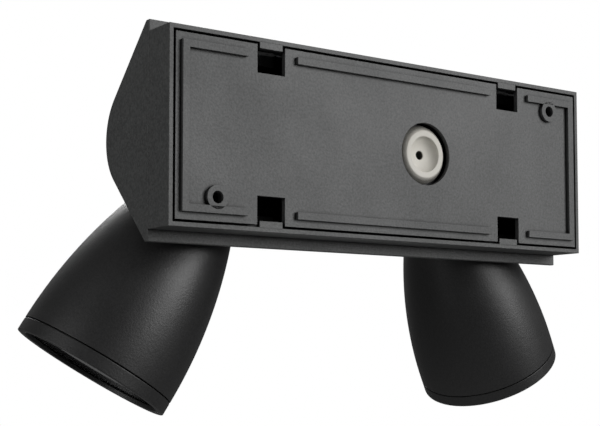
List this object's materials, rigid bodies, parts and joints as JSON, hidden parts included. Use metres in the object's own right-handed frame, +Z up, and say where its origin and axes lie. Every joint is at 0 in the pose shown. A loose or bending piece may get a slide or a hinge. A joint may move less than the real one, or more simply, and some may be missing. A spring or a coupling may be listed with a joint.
{
  "type": "wall-mounted twin-head security camera",
  "caption": "Wall-mounted outdoor security camera: a wedge-shaped housing with bell-shaped swivelling camera heads under its ends.",
  "frame": {"origin": "centre of the wall face, on the plane of the raised bands that bear on the wall", "axes": "+Z up, +Y towards the wall and square to it, +X along the housing to the right as seen from in front"},
  "size_m": [0.3736, 0.1295, 0.2049],
  "materials": {
    "powder_coat": "fine matt anthracite powder coat on die-cast aluminium",
    "moulded_black": "matt black moulded plastic",
    "rubber_black": "matt black rubber",
    "rubber_cream": "soft cream rubber",
    "clear_glass": "polished toughened glass",
    "lens_glass": "coated lens glass",
    "circuit_board": "green solder resist",
    "plain_aluminium": "plain extruded aluminium",
    "zinc_steel": "zinc-plated steel",
    "black_steel": "blackened steel",
    "nylon_white": "natural nylon"
  },
  "bodies": {
    "housing": {"wall_plate": "powder_coat", "rear_frame": "powder_coat", "front_housing": "powder_coat", "cable_grommet": "rubber_cream", "housing_gasket": "rubber_black", "electronics_tray": "zinc_steel", "power_board": "circuit_board", "control_board": "circuit_board", "terminal_block": "nylon_white", "housing_lead_left": "rubber_black", "housing_lead_right": "rubber_black", "case_screw_1": "zinc_steel", "tray_screw_1": "zinc_steel", "case_screw_2": "zinc_steel", "tray_screw_2": "zinc_steel", "case_screw_3": "zinc_steel", "tray_screw_3": "zinc_steel", "case_screw_4": "zinc_steel", "tray_screw_4": "zinc_steel", "friction_washer_left": "rubber_black", "friction_washer_right": "rubber_black"},
    "head_left": {"head_shell_left": "powder_coat", "bezel_ring_left": "powder_coat", "front_glass_left": "clear_glass", "glass_gasket_left": "rubber_black", "baffle_ring_left": "moulded_black", "led_board_left": "circuit_board", "heat_sink_left": "plain_aluminium", "lens_barrel_left": "moulded_black", "front_lens_left": "lens_glass", "sensor_board_left": "circuit_board", "head_lead_left": "rubber_black", "pivot_bolt_left": "black_steel", "pivot_nut_left": "zinc_steel", "lock_washer_left": "zinc_steel"},
    "head_right": {"head_shell_right": "powder_coat", "bezel_ring_right": "powder_coat", "front_glass_right": "clear_glass", "glass_gasket_right": "rubber_black", "baffle_ring_right": "moulded_black", "led_board_right": "circuit_board", "heat_sink_right": "plain_aluminium", "lens_barrel_right": "moulded_black", "front_lens_right": "lens_glass", "sensor_board_right": "circuit_board", "head_lead_right": "rubber_black", "pivot_bolt_right": "black_steel", "pivot_nut_right": "zinc_steel", "lock_washer_right": "zinc_steel"}
  },
  "joints": [
    {"name": "swivel_left", "type": "hinge", "parent": "housing", "child": "head_left", "pos_m": [-0.1154, -0.04526, -0.03884], "axis": [0, -0.7071, -0.7071], "range_deg": [-125, 215]},
    {"name": "swivel_right", "type": "hinge", "parent": "housing", "child": "head_right", "pos_m": [0.1154, -0.04526, -0.03884], "axis": [0, -0.7071, -0.7071], "range_deg": [-215, 125]}
  ]
}
